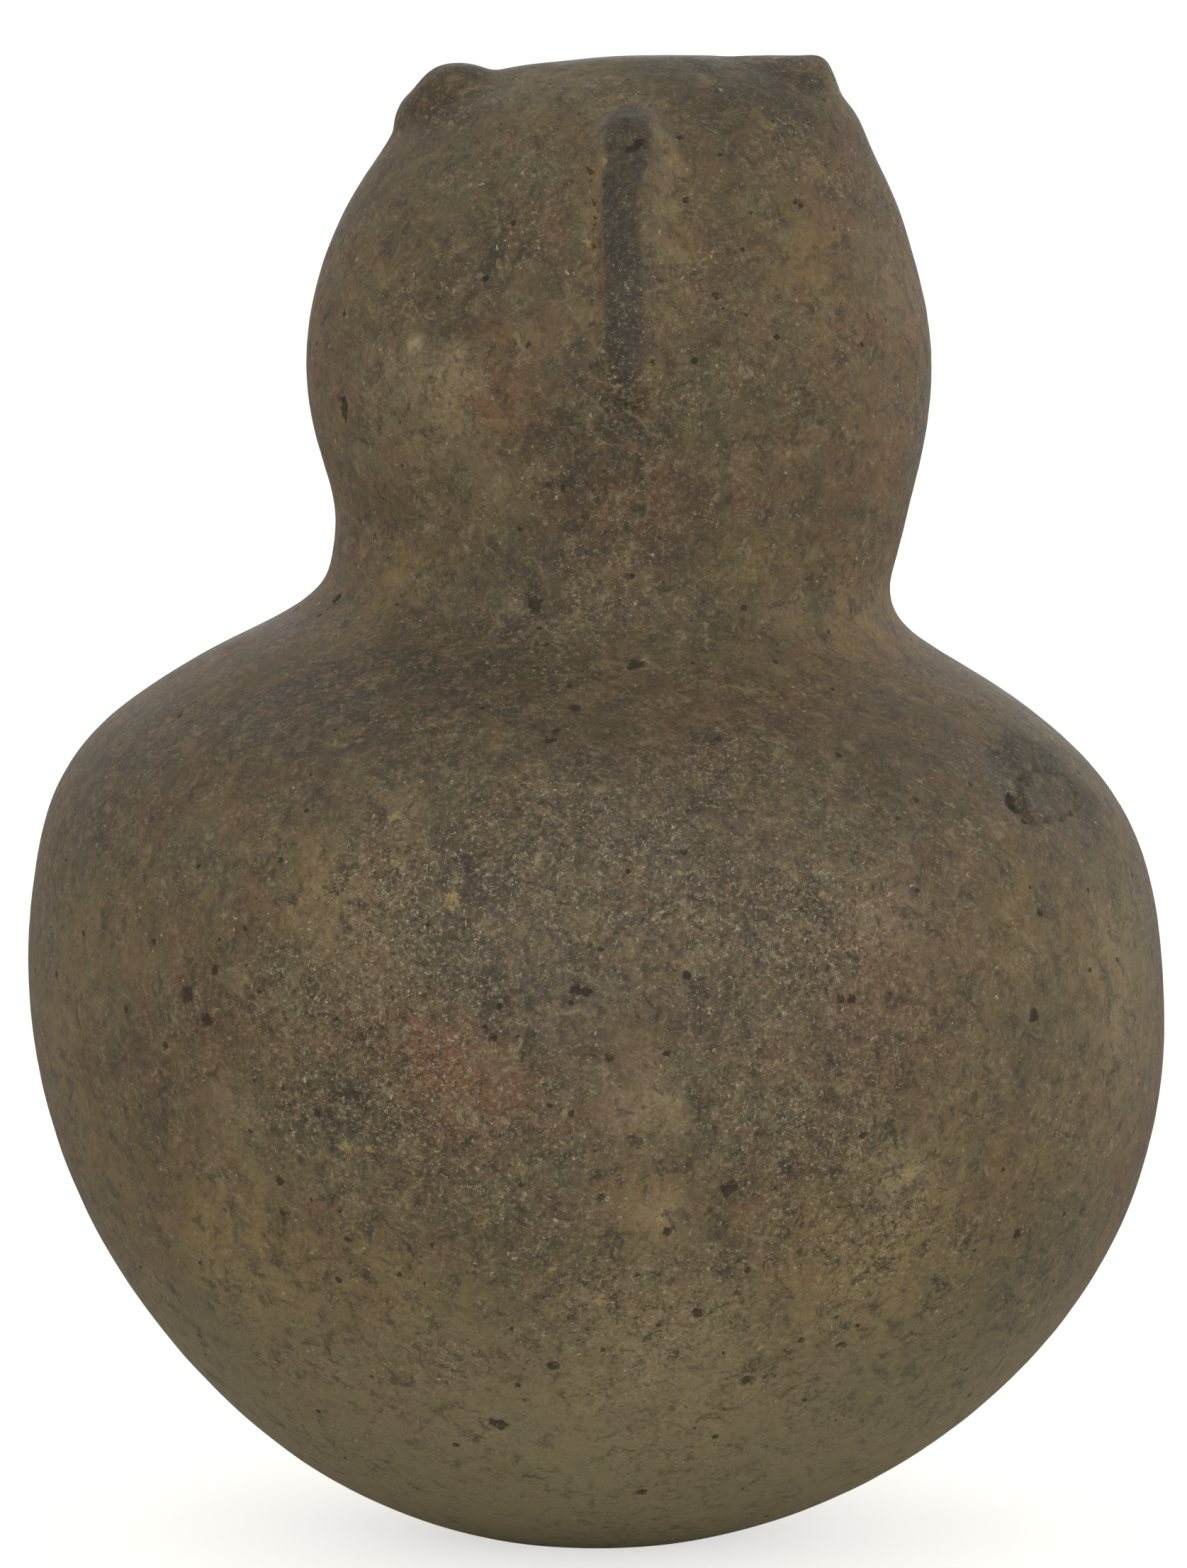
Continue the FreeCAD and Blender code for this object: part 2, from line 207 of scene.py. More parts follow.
# Dark pits; the short row at the top of the nose ridge's knob is painted shade in its crease
DARK_PITS_AND_CREASE_SHADE = [
    (755, 853, 0.9), (476, 845, 0.7), (811, 998, 0.7), (785, 1030, 0.5), (776, 1044, 0.6),
    (896, 936, 0.9), (1170, 893, 0.4), (303, 1368, 0.6), (264, 1403, 0.9), (292, 1440, 0.8),
    (233, 1475, 0.5), (177, 1424, 0.5), (217, 1328, 0.4), (812, 1396, 0.6), (828, 1399, 0.6),
    (1186, 1410, 0.5), (1202, 1410, 0.6), (966, 1202, 0.4), (1468, 1287, 0.6),
    (1458, 1434, 0.8), (970, 1375, 0.5), (861, 1492, 0.6), (447, 1571, 0.6), (395, 1666, 0.6),
    (490, 1749, 0.5), (1029, 1678, 0.9), (940, 1739, 0.6), (984, 1852, 0.7), (1435, 1740, 0.7),
    (1187, 1898, 0.6), (706, 2010, 0.9), (694, 2006, 0.6), (1054, 1948, 0.8), (780, 1927, 0.7),
    (905, 2105, 0.7), (735, 1672, 0.4), (847, 1690, 0.5), (840, 1623, 0.4), (704, 1419, 0.4),
    (684, 1452, 0.5), (697, 1465, 0.5), (489, 565, 0.6), (490, 575, 0.8), (490, 586, 0.6),
    (1434, 1130, 0.9), (1215, 487, 0.4), (680, 390, 0.5), (745, 487, 0.4), (775, 683, 0.4),
    (795, 689, 0.4), (840, 690, 0.4), (1012, 416, 0.5), (968, 283, 0.4),
    (887, 212, 0.4), (893, 208, 0.45), (899, 204, 0.45), (905, 201, 0.35), (1432, 1120, 0.8),
    (1436, 1138, 0.7), (1446, 1158, 0.5), (956, 196, 0.4),
]
# Outlined patches drawn on the front: the width over which the edge fades, then the outline, in
# pixels of the photograph
PATCHES = {
    "soot": (9, [
        (858, 165), (875, 152), (900, 151), (914, 168), (919, 200), (912, 240), (900, 262),
        (901, 330), (907, 400), (911, 460), (905, 520), (890, 555), (866, 555), (856, 500),
        (853, 430), (852, 340), (849, 262), (854, 215),
    ]),
    "stain": (26, [
        (1402, 1045), (1430, 1032), (1470, 1046), (1512, 1072), (1548, 1108), (1560, 1150),
        (1546, 1178), (1526, 1160), (1520, 1130), (1500, 1100), (1465, 1082), (1442, 1092),
        (1440, 1140), (1426, 1150), (1418, 1110), (1408, 1075),
    ]),
    "spall": (8, [
        (470, 520), (530, 480), (572, 470), (600, 488), (640, 492), (668, 520), (690, 555),
        (722, 580), (700, 650), (640, 720), (520, 700), (460, 610),
    ]),
    "scar": (8, [
        (1444, 1094), (1460, 1084), (1482, 1088), (1502, 1098), (1516, 1118), (1522, 1140),
        (1500, 1152), (1478, 1156), (1456, 1162), (1446, 1142), (1441, 1118),
    ]),
}
OUTLINE_MARGIN = 40
# The spall's edge is sharp at its middle and worn away at this distance, in pixels
SPALL_MIDDLE = (600, 560)
SPALL_WORN = 169
SPALL_FADE = 130
# What the patches and their edges add to the masks, and to the relief in mm
PATCH_SHARES = {
    "soot": {"soot": 1.0, "stain": 0.35},
    "smudge": {"scar edge": 0.45, "scar": 0.45, "spall edge": 0.4, "stain": 1.3},
    "pale": {"spall": 0.5},
    "relief": {"spall": 0.6, "scar": 0.3, "scar edge": -0.5},
}
# Relief by place on the pot: x, y, z, radius and height in mm
EDGE_RELIEF = [
    (-24.4, 0, 172.2, 3.0, 0.55), (-23.8, 0, 175.2, 2.2, 0.4), (-22.9, 0, 176.6, 3.6, -1.1),
    (27.3, 0, 180.3, 1.8, 0.6), (29.7, 0, 178.5, 2.6, -0.6), (-6.0, 0, 180.0, 8.0, -0.7),
    (-50, 0, 24, 22, -0.9), (48, 0, 22, 20, -0.5), (38, 0, 150, 22, 0.4),
    (-33, 0, 140, 16, 0.25), (48, 0, 110, 12, 0.35),
]
# The crown is up to 0.45 mm higher than the solid, and its colour differs from the walls'
CROWN_RISE = 0.45
CROWN_RISE_FROM = 174.0 * MM
CROWN_RISE_OVER = 5.0 * MM
CROWN_COLOUR_FROM = 171.0 * MM
CROWN_COLOUR_OVER = 6.0 * MM
# The foot's paler colour is painted light that lifts the shaded underside; it fades out upwards,
# and no relief lifts the flat that it rests on
FOOT_PAINTED_LIGHT_TOP = 44.0 * MM
FLAT_OVER = 6.0 * MM
# A pit's floor is flat where its mark passes this value
PIT_DEPTH = 0.35
PIT_FLOOR = 0.8
# Relief pressed into the front: x, y, radius in mm, height in mm
HAND_RELIEF = [
    (690, 350, 8, -0.8), (690, 430, 6, -0.4), (1050, 350, 6, -0.8), (1050, 410, 5, -0.4),
    (745, 260, 4, 0.2), (640, 600, 6, 0.35), (1434, 1090, 5, -0.7), (1490, 1120, 4, -0.5),
    (1434, 1130, 1.6, -1.0), (1530, 1150, 3, -0.4), (1405, 1060, 3, -0.3),
    (720, 640, 5, 0.3), (1230, 830, 6, 0.3), (850, 620, 3, -0.3), (700, 118, 3, -0.4),
    (893, 207, 1.0, -0.7), (889, 180, 2.6, 1.3), (889, 228, 2.2, 0.6),
    (838, 240, 1.6, -0.6), (838, 300, 1.6, -0.6), (838, 360, 1.6, -0.5), (838, 420, 1.6, -0.4),
    (932, 200, 1.5, -0.5), (930, 300, 1.4, -0.4), (928, 400, 1.4, -0.4),
    (955, 250, 2.2, 0.25), (955, 330, 2.2, 0.25), (955, 410, 2.2, 0.2),
]
# Marks of the front, then seed, count, least and greatest radius in mm and strength of
# those on the sides and the back
# The smudge, ochre, pale and mauve marks also carry painted shade, painted light and a painted
# sheen
CLOUDS_AND_PAINTED_LIGHT = {
    "ochre": (OCHRE_FLUSHES_AND_LIT_FLANKS, 41, 26, 5, 12, 0.8),
    "red": (RED_FLUSHES, 42, 18, 5, 11, 0.7),
    "mauve": (MAUVE_BLOOMS_AND_SHEEN, 43, 16, 8, 18, 0.7),
    "olive": (OLIVE_CLOUDS, 47, 24, 5, 12, 0.8),
    "grit": (GRITTY, 48, 16, 8, 16, 0.7),
    "smudge": (SMUDGES_AND_SHADE, 44, 16, 5, 13, 0.5),
    "pale": (PALE_WEAR_AND_HIGHLIGHTS, 45, 18, 2, 5, 0.6),
}
PITS_ELSEWHERE = (46, 60, 0.4, 0.9, 1)
# Radii past which a spot adds nothing worth counting, with room for a small mark's torn edge
SPOT_REACH = 2.4
PIT_REACH = 2.2
PIT_MARGIN = 1.5 * MM
# Y of the normal of skin that surely faces the camera, or surely doesn't
FACES_CAMERA = -0.2
FACES_AWAY = 0.05


def linear(code):
    """Linear RGBA of an sRGB hex colour."""
    channels = [int(code[place:place + 2], 16) / 255 for place in (1, 3, 5)]
    return tuple(
        value / 12.92 if value <= 0.04045 else ((value + 0.055) / 1.055) ** 2.4
        for value in channels
    ) + (1.0,)


def add(tree, kind, inputs=None, **settings):
    """Adds a node with its settings; an input is a value or a socket to link from."""
    node = tree.nodes.new(kind)
    for name, value in settings.items():
        setattr(node, name, value)
    for socket, value in (inputs or {}).items():
        if isinstance(value, bpy.types.NodeSocket):
            tree.links.new(value, node.inputs[socket])
        else:
            node.inputs[socket].default_value = value
    return node


# Camera and photograph

def photo_ray(x, y):
    """Start and direction of the ray through a pixel of the photograph."""
    forward = Vector((0, math.cos(CAMERA_ELEVATION), -math.sin(CAMERA_ELEVATION)))
    up = Vector((0, math.sin(CAMERA_ELEVATION), math.cos(CAMERA_ELEVATION)))
    right = Vector((1, 0, 0))
    pixel = VIEW_HEIGHT / PHOTO_HEIGHT
    across = (x - PHOTO_WIDTH / 2) * pixel
    rise = (PHOTO_HEIGHT / 2 - y) * pixel
    start = AIM - forward * CAMERA_DISTANCE
    target = AIM + right * across + up * rise
    return start, (target - start).normalized()


def set_camera():
    lens = SENSOR_HEIGHT * CAMERA_DISTANCE / VIEW_HEIGHT
    data = bpy.data.cameras.new("photo_camera")
    data.sensor_fit = "VERTICAL"
    data.sensor_height = SENSOR_HEIGHT
    data.lens = lens
    data.clip_end = 100
    camera = bpy.data.objects.new("photo_camera", data)
    start, _ = photo_ray(0, 0)
    camera.location = start
    camera.rotation_euler = (math.pi / 2 - CAMERA_ELEVATION, 0, 0)
    bpy.context.scene.collection.objects.link(camera)
    bpy.context.scene.camera = camera


# One clay skin over all the solids

def mesh_points(mesh):
    points = np.empty(len(mesh.vertices) * 3)
    mesh.vertices.foreach_get("co", points)
    return points.reshape(-1, 3)


def mesh_arrays(mesh):
    """Points and corners of a mesh of triangles."""
    corners = np.empty(len(mesh.loops), np.int64)
    mesh.loops.foreach_get("vertex_index", corners)
    return mesh_points(mesh), corners.reshape(-1, 3)


def node_arrays(name):
    return mesh_arrays(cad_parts[name].data)


def seam_cone(lower, upper):
    """Centre X, height on the axis and climb of the cone on which two courses meet."""
    low = np.unique(node_arrays(lower)[0], axis=0)
    high, corners = node_arrays(upper)
    tree = BVHTree.FromPolygons(high.tolist(), corners.tolist())
    away = np.array([tree.find_nearest(point)[3] for point in low])
    touching = low[away < SEAM_TOUCH]
    centre = (touching[:, 0].min() + touching[:, 0].max()) / 2
    kept = np.ones(len(touching), bool)
    for _ in range(SEAM_ROUNDS):
        shared = touching[kept]
        offset = shared[:, 0] - centre
        radius = np.hypot(offset, shared[:, 1])
        table = np.column_stack([np.ones(len(shared)), radius])
        height, climb = np.linalg.lstsq(table, shared[:, 2], rcond=None)[0]
        slant = -climb * offset / radius
        centre += np.linalg.lstsq(
            np.column_stack([table, slant]), shared[:, 2], rcond=None)[0][2]
        left = abs(above_cone(touching, (centre, height, climb)))
        kept = left < max(SEAM_FIT, SEAM_OUTLIER * np.median(left))
    return centre, height, climb


def above_cone(points, cone):
    centre, height, climb = cone
    return points[:, 2] - height - climb * np.hypot(points[:, 0] - centre, points[:, 1])


def clay_object(cones):
    """All the solids in one mesh, without the faces on which the courses meet."""
    joined = bmesh.new()
    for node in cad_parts.values():
        joined.from_mesh(node.data)
    bmesh.ops.remove_doubles(joined, verts=joined.verts, dist=SOLID_WELD)
    mesh = bpy.data.meshes.new("clay")
    joined.to_mesh(mesh)
    joined.free()
    points, corners = mesh_arrays(mesh)
    inner = np.zeros(len(corners), bool)
    for cone in cones:
        on_seam = abs(above_cone(points, cone)) < SEAM_FIT
        inner |= on_seam[corners].all(axis=1)
    thinned = bpy.data.meshes.new("clay")
    thinned.from_pydata(points.tolist(), [], corners[~inner].tolist())
    clay = bpy.data.objects.new("clay", thinned)
    bpy.context.scene.collection.objects.link(clay)
    remesh = clay.modifiers.new("one skin", "REMESH")
    remesh.mode = "VOXEL"
    remesh.voxel_size = CLAY_VOXEL
    smooth = clay.modifiers.new("luting", "SMOOTH")
    smooth.factor = SMOOTHING
    smooth.iterations = SMOOTHING_PASSES
    return clay


def round_lip(clay):
    """Rubs the sharp lip of the mouth round, as a wet finger does."""
    solid, _ = node_arrays("mouth_rim")
    lip = solid[:, 1].max()
    middle = (solid.min(axis=0) + solid.max(axis=0)) / 2
    points = mesh_points(clay.data)
    reach = np.hypot(points[:, 0] - middle[0], points[:, 2] - middle[2])
    widest = np.hypot(solid[:, 0] - middle[0], solid[:, 2] - middle[2]).max()
    chosen = (points[:, 1] > lip - LIP_DEPTH) & (reach < widest + LIP_MARGIN)
    group = clay.vertex_groups.new(name="lip")
    group.add(np.flatnonzero(chosen).tolist(), 1.0, "REPLACE")
    rub = clay.modifiers.new("rub", "SMOOTH")
    rub.factor = SMOOTHING
    rub.iterations = LIP_PASSES
    rub.vertex_group = group.name


def applied(thing):
    """Turns an object's modifiers into its plain mesh."""
    evaluated = thing.evaluated_get(bpy.context.evaluated_depsgraph_get())
    mesh = bpy.data.meshes.new_from_object(evaluated)
    thing.modifiers.clear()
    thing.data = mesh
    return mesh


def mesh_normals(mesh):
    normals = np.empty(len(mesh.vertices) * 3)
    mesh.vertex_normals.foreach_get("vector", normals)
    return normals.reshape(-1, 3)


def store(mesh, name, values):
    attribute = mesh.attributes.new(name, "FLOAT", "POINT")
    attribute.data.foreach_set("value", np.asarray(values, np.float32))


# Marks on the skin

def solid_tree():
    """Search tree over the solids, for rays from the camera."""
    points = []
    faces = []
    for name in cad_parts:
        low, corners = node_arrays(name)
        faces.extend((corners + len(points)).tolist())
        points.extend(low.tolist())
    return BVHTree.FromPolygons(points, faces)


def on_front(tree, marks):
    """Marks given by pixel, now with their place on the pot and the normal there."""
    found = []
    for x, y, *rest in marks:
        hit, normal, _, _ = tree.ray_cast(*photo_ray(x, y))
        if hit is not None:
            found.append((np.array(hit), np.array(normal), *rest))
    return found


def soft_marks(tree, marks):
    return [(centre, radius * MM, strength)
            for centre, _, radius, strength in on_front(tree, marks)]


def small_marks(tree, marks):
    return [(centre, normal, radius * MM) for centre, normal, radius in on_front(tree, marks)]


def soft_spots(points, spots):
    """Sum of soft round spots; a spot is centre, radius and strength."""
    total = np.zeros(len(points))
    for centre, radius, strength in spots:
        near = np.flatnonzero(abs(points - centre).max(axis=1) < SPOT_REACH * radius)
        far = ((points[near] - centre) ** 2).sum(axis=1) / radius ** 2
        total[near] += strength * np.exp(-far)
    return total


def crisp_spots(points, spots):
    """1 at the middle of the nearest small mark, 0 at its edge, less outside."""
    best = np.full(len(points), -1.0)
    for centre, normal, radius in spots:
        reach = PIT_REACH * radius + PIT_MARGIN
        near = np.flatnonzero(abs(points - centre).max(axis=1) < reach)
        offset = points[near] - centre
        offset -= np.outer(offset @ normal, normal)
        away = np.sqrt((offset ** 2).sum(axis=1))
        best[near] = np.maximum(best[near], 1 - away / radius)
    return best


def pixels_of(points):
    """Where points of the skin show in the photograph."""
    start, _ = photo_ray(0, 0)
    offset = points - np.array(start)
    forward = np.array([0, math.cos(CAMERA_ELEVATION), -math.sin(CAMERA_ELEVATION)])
    up = np.array([0, math.sin(CAMERA_ELEVATION), math.cos(CAMERA_ELEVATION)])
    scale = CAMERA_DISTANCE / (offset @ forward) * PHOTO_HEIGHT / VIEW_HEIGHT
    return np.column_stack([
        PHOTO_WIDTH / 2 + offset[:, 0] * scale, PHOTO_HEIGHT / 2 - (offset @ up) * scale])


def outlined(pixels, facing, outline, softness):
    """1 well inside an outline drawn on the photograph, 0 well outside."""
    corners = np.array(outline, float)
    low, high = corners.min(axis=0) - OUTLINE_MARGIN, corners.max(axis=0) + OUTLINE_MARGIN
    near = np.flatnonzero(facing & ((pixels > low) & (pixels < high)).all(axis=1))
    spots = pixels[near]
    away = np.full(len(near), np.inf)
    for start, end in zip(corners, np.roll(corners, -1, axis=0)):
        side = end - start
        share = np.clip((spots - start) @ side / (side @ side), 0, 1)
        away = np.minimum(away, np.hypot(*(spots - start - share[:, None] * side).T))
    order = np.arange(len(corners))
    inside = inside_loops(spots, corners, order, np.roll(order, -1))
    result = np.zeros(len(pixels))
    result[near] = np.clip(0.5 + np.where(inside, away, -away) / softness, 0, 1)
    return result


def spots_elsewhere(points, normals, seed, count, smallest, largest, strength):
    """Fixed random spots on the sides and the back, where the photograph doesn't see."""
    chance = np.random.default_rng(seed)
    outside = np.flatnonzero(
        (normals[:, 1] > FACES_AWAY) & (outwardness(points, normals) > 0))
    chosen = chance.choice(outside, count)
    sizes = chance.uniform(smallest, largest, count) * MM
    strengths = chance.uniform(0.4, 1.0, count) * strength
    return [(points[at], size, power) for at, size, power in zip(chosen, sizes, strengths)]


def outwardness(points, normals):
    """Positive on the outer skin and negative on the inner one."""
    centre = np.zeros_like(points)
    centre[:, 0] = np.interp(points[:, 2], LEAN_HEIGHTS, [0, HEAD_LEAN])
    centre[:, 2] = np.clip(points[:, 2], *CORE_HEIGHTS)
    return ((points - centre) * normals).sum(axis=1)


def ramp(values, start, over):
    """0 at the start, 1 past the distance over which it rises; downwards if that is negative."""
    return np.clip((values - start) / over, 0, 1)


def patches_on_front(points, normals):
    """Outlined patches of the front and their edges, each as a value per point."""
    pixels = pixels_of(points)
    facing = (normals[:, 1] < FACES_CAMERA) & (points[:, 1] < 0)
    patch = {
        name: outlined(pixels, facing, outline, softness)
        for name, (softness, outline) in PATCHES.items()
    }
    fade = ramp(abs(pixels - SPALL_MIDDLE).max(axis=1), SPALL_WORN, -SPALL_FADE)
    patch["scar edge"] = 4 * patch["scar"] * (1 - patch["scar"])
    patch["spall edge"] = 4 * patch["spall"] * (1 - patch["spall"]) * fade
    patch["spall"] *= fade
    return patch


def paint_marks(mesh):
    """Stores the colour masks and the hand relief as attributes of the skin."""
    points = mesh_points(mesh)
    normals = mesh_normals(mesh)
    heights = points[:, 2]
    tree = solid_tree()
    painted = {"soot": 0}
    for name, (marks, *rest) in CLOUDS_AND_PAINTED_LIGHT.items():
        spots = soft_marks(tree, marks) + spots_elsewhere(points, normals, *rest)
        painted[name] = soft_spots(points, spots)
    pits = small_marks(tree, DARK_PITS_AND_CREASE_SHADE)
    for centre, size, _ in spots_elsewhere(points, normals, *PITS_ELSEWHERE):
        nearest = np.argmin(((points - centre) ** 2).sum(axis=1))
        pits.append((centre, normals[nearest], size))
    pit_and_crease_shade = crisp_spots(points, pits)
    relief = soft_spots(points, soft_marks(tree, HAND_RELIEF) + [
        (np.array(spot[:3]) * MM, spot[3] * MM, spot[4]) for spot in EDGE_RELIEF])
    relief += CROWN_RISE * ramp(heights, CROWN_RISE_FROM, CROWN_RISE_OVER)
    relief -= PIT_DEPTH * np.clip(pit_and_crease_shade, 0, PIT_FLOOR)
    painted["relief"] = relief
    patch = patches_on_front(points, normals)
    for name, shares in PATCH_SHARES.items():
        painted[name] += sum(share * patch[source] for source, share in shares.items())
    relief = painted.pop("relief")
    store(mesh, "soot", np.clip(painted.pop("soot"), 0, 1))
    for name, values in painted.items():
        store(mesh, name, np.clip(values, 0, MASK_TOP))
    store(mesh, "crown", ramp(heights, CROWN_COLOUR_FROM, CROWN_COLOUR_OVER))
    # Paler towards the bottom: painted light on the shaded underside
    store(mesh, "foot", ramp(heights, FOOT_PAINTED_LIGHT_TOP, -FOOT_PAINTED_LIGHT_TOP))
    store(mesh, "pit_and_crease_shade", pit_and_crease_shade)
    store(mesh, "crumb", crisp_spots(points, small_marks(tree, LIGHT_CRUMBS)))
    outer = outwardness(points, normals) > 0
    grounded = ramp(heights, 0, FLAT_OVER)
    store(mesh, "relief", np.where(outer, relief, 0) * MM * grounded)
    store(mesh, "hand", grounded)
    store(mesh, "inside", np.where(outer, 0.0, 1.0))


def hand_built_skin():
    """Geometry Nodes tree that gives the smooth skin its hand-built waves and facets."""
    tree = bpy.data.node_groups.new("hand_built_skin", "GeometryNodeTree")
    face = tree.interface
    face.new_socket("Geometry", in_out="INPUT", socket_type="NodeSocketGeometry")
    sizes = {
        "Wave height": 0.30 * MM, "Wave length": 42 * MM,
        "Dent height": 0.14 * MM, "Dent length": 16 * MM,
        "Facet height": 0.05 * MM, "Facet length": 7 * MM,
        "Seed": 3.7,
    }
    for name, value in sizes.items():
        socket = face.new_socket(name, in_out="INPUT", socket_type="NodeSocketFloat")
        socket.default_value = value
    face.new_socket("Clay", in_out="INPUT", socket_type="NodeSocketMaterial")
    face.new_socket("Geometry", in_out="OUTPUT", socket_type="NodeSocketGeometry")
    given = add(tree, "NodeGroupInput").outputs
    position = add(tree, "GeometryNodeInputPosition").outputs[0]

    def reckon(operation, first, second):
        return add(tree, "ShaderNodeMath", {0: first, 1: second}, operation=operation).outputs[0]

    def carried(name):
        return add(tree, "GeometryNodeInputNamedAttribute", {"Name": name},
                   data_type="FLOAT").outputs[0]

    # Burnishing strokes run round the pot, so the facets are flattened upwards
    flattened = add(tree, "ShaderNodeVectorMath", {0: position, 1: (1, 1, 2.6)},
                    operation="MULTIPLY").outputs[0]
    total = 0.0
    for kind, place in (("Wave", position), ("Dent", position), ("Facet", flattened)):
        noise = add(tree, "ShaderNodeTexNoise",
                    {"Vector": place, "W": given["Seed"], "Detail": 1.0,
                     "Scale": reckon("DIVIDE", 1.0, given[kind + " length"])},
                    noise_dimensions="4D").outputs[0]
        swing = reckon("MULTIPLY", reckon("SUBTRACT", noise, 0.5), 2.0)
        total = reckon("ADD", total, reckon("MULTIPLY", swing, given[kind + " height"]))
    total = reckon("MULTIPLY", total, carried("hand"))
    total = reckon("ADD", total, carried("relief"))
    normal = add(tree, "GeometryNodeInputNormal").outputs[0]
    offset = add(tree, "ShaderNodeVectorMath", {0: normal, "Scale": total},
                 operation="SCALE").outputs[0]
    moved = add(tree, "GeometryNodeSetPosition",
                {"Geometry": given["Geometry"], "Offset": offset}).outputs[0]
    real = add(tree, "GeometryNodeRealizeInstances", {"Geometry": moved}).outputs[0]
    clad = add(tree, "GeometryNodeSetMaterial",
               {"Geometry": real, "Material": given["Clay"]}).outputs[0]
    add(tree, "NodeGroupOutput", {"Geometry": clad})
    return tree


def give_hand(clay, material):
    modifier = clay.modifiers.new("hand", "NODES")
    modifier.node_group = hand_built_skin()
    for socket in modifier.node_group.interface.items_tree:
        if socket.in_out == "INPUT" and socket.name == "Clay":
            modifier[socket.identifier] = material
    return applied(clay)


# Cutting the skin at the potter's joins

class Shell:
    """A closed triangle mesh with values at its points."""

    def __init__(self, points, corners, values, skin):
        used = np.unique(corners)
        place = np.empty(len(points), np.int64)
        place[used] = np.arange(len(used))
        self.points = points[used]
        self.corners = place[corners]
        self.values = values[used]
        self.skin = skin


def cut(shell, field, flatten, between=None):
    """Cuts a shell where a field is zero and closes both parts with the same face."""
    high = field > 0
    count = high[shell.corners].sum(axis=1)
    mixed = np.flatnonzero((count > 0) & (count < 3))
    corners = shell.corners[mixed]
    flags = high[corners]
    lone_high = count[mixed] == 1
    lone = np.argmax(flags == lone_high[:, None], axis=1)
    turned = np.take_along_axis(corners, (lone[:, None] + np.arange(3)) % 3, axis=1)
    first, second, third = turned.T
    edges = np.sort(np.concatenate([
        np.column_stack([first, second]), np.column_stack([first, third])]), axis=1)
    size = len(shell.points)
    keys, inverse = np.unique(edges[:, 0] * size + edges[:, 1], return_inverse=True)
    start, end = keys // size, keys % size
    share = field[start] / (field[start] - field[end])
    share = np.clip(share, CUT_MARGIN, 1 - CUT_MARGIN)[:, None]
    points = np.concatenate([
        shell.points, shell.points[start] * (1 - share) + shell.points[end] * share])
    values = np.concatenate([
        shell.values, shell.values[start] * (1 - share) + shell.values[end] * share])
    near = size + inverse[:len(mixed)]
    far = size + inverse[len(mixed):]
    tips = np.column_stack([first, near, far])
    rests = np.concatenate([
        np.column_stack([near, second, third]), np.column_stack([near, third, far])])
    rest_high = np.concatenate([~lone_high, ~lone_high])
    skin = shell.skin[mixed]
    rest_skin = np.concatenate([skin, skin])
    # Edges of the lower part along the cut, in the direction in which its faces run
    begin = np.where(lone_high, far, near)
    finish = np.where(lone_high, near, far)
    cap, points, values = cap_face(begin, finish, points, values, flatten, between)
    parts = []
    for wanted in (False, True):
        whole = count == (3 if wanted else 0)
        tip = lone_high == wanted
        rest = rest_high == wanted
        lid = cap[:, ::-1] if wanted else cap
        parts.append(Shell(
            points,
            np.concatenate([shell.corners[whole], tips[tip], rests[rest], lid]),
            values,
            np.concatenate([shell.skin[whole], skin[tip], rest_skin[rest],
                            np.zeros(len(cap), bool)])))
    return parts


def inside_loops(spots, flat, begin, finish):
    """Which spots lie inside closed loops, by counting crossings."""
    low = flat[begin]
    top = flat[finish]
    crossings = np.zeros(len(spots), int)
    batch = 500
    for start in range(0, len(spots), batch):
        x = spots[start:start + batch, 0][:, None]
        y = spots[start:start + batch, 1][:, None]
        spans = (low[:, 1] > y) != (top[:, 1] > y)
        rise = top[:, 1] - low[:, 1]
        rise = np.where(rise == 0, 1, rise)
        at = low[:, 0] + (y - low[:, 1]) / rise * (top[:, 0] - low[:, 0])
        crossings[start:start + batch] = (spans & (at > x)).sum(axis=1)
    return crossings % 2 == 1


